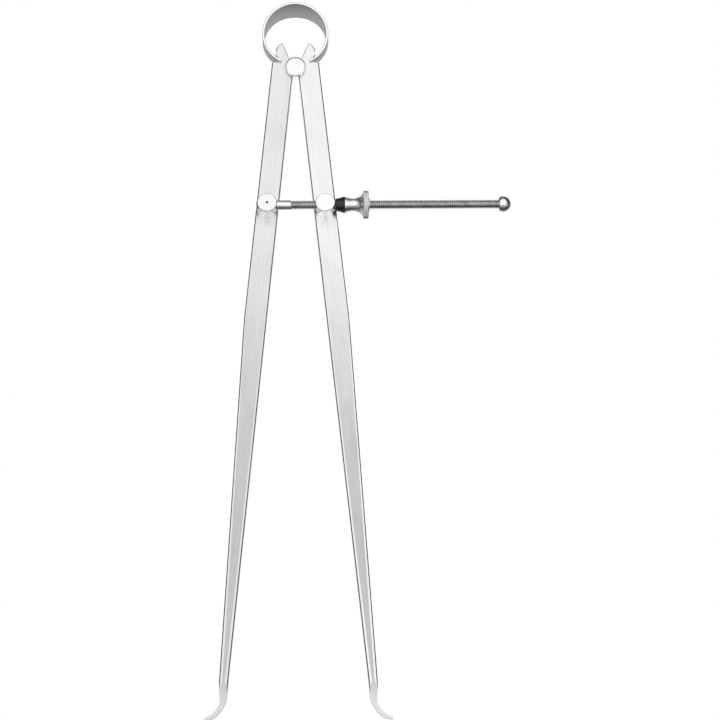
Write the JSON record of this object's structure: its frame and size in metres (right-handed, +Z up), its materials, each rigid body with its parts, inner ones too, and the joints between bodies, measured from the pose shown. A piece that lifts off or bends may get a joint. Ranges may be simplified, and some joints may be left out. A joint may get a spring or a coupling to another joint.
{
  "type": "inside spring caliper",
  "caption": "Bow-spring inside caliper: tapering legs with out-turned feet, on a headed stud, set by a screw and knurled nut.",
  "frame": {"origin": "where a peg through the bow spring touches the inside of its crown, half way through the thickness of the legs", "axes": "+Z up, from the measuring feet to the bow; the front faces -Y; the adjusting screw runs from the left leg towards +X"},
  "size_m": [0.1349, 0.0189, 0.3334],
  "materials": {
    "leg_steel": "satin, ground along the leg",
    "spring_steel": "polished spring steel",
    "turned_steel": "fine turned",
    "screw_steel": "cut thread",
    "pin_steel": "dark",
    "polished_steel": "polished",
    "nut_steel": "turned, with a knurled rim",
    "black_oxide": "black oxide"
  },
  "bodies": {
    "head": {"fulcrum_stud": "turned_steel", "bow_spring": "spring_steel"},
    "left_leg": {"left_leg": "leg_steel"},
    "right_leg": {"right_leg": "leg_steel"},
    "screw": {"left_post": "turned_steel", "left_post_washer": "turned_steel", "adjusting_screw": "screw_steel", "screw_lock_pin": "pin_steel", "ball_stop": "polished_steel"},
    "right_post": {"right_post": "turned_steel", "right_post_washer": "turned_steel"},
    "nut": {"knurled_nut": "nut_steel", "nut_collar": "black_oxide"}
  },
  "joints": [
    {"name": "right_leg_swing", "type": "hinge", "parent": "head", "child": "right_leg", "pos_m": [0, 0, -0.03043], "axis": [0, -1, 0], "range_deg": [-5.7, 22], "deforming": ["bow_spring"]},
    {"name": "left_leg_swing", "type": "hinge", "parent": "head", "child": "left_leg", "pos_m": [0, 0, -0.03043], "axis": [0, 1, 0], "range_deg": [-5.7, 22]},
    {"name": "left_post_turn", "type": "hinge", "parent": "left_leg", "child": "screw", "pos_m": [-0.01291, 0, -0.10049], "axis": [0, -1, 0], "range_deg": [-5.7, 22]},
    {"name": "right_post_turn", "type": "hinge", "parent": "right_leg", "child": "right_post", "pos_m": [0.01291, 0, -0.10049], "axis": [0, 1, 0], "range_deg": [-5.7, 22]},
    {"name": "nut_spin", "type": "hinge", "parent": "right_post", "child": "nut", "pos_m": [0.02155, -0.0059, -0.10049], "axis": [1, 0, 0], "range_deg": [-5586.6, 21533.7]}
  ],
  "couplings": [
    {"joint": "left_leg_swing", "follows": "right_leg_swing", "ratio": 1},
    {"joint": "left_post_turn", "follows": "right_leg_swing", "ratio": 1},
    {"joint": "right_post_turn", "follows": "right_leg_swing", "ratio": 1},
    {"joint": "nut_spin", "follows": "right_leg_swing", "ratio": 978.35}
  ]
}
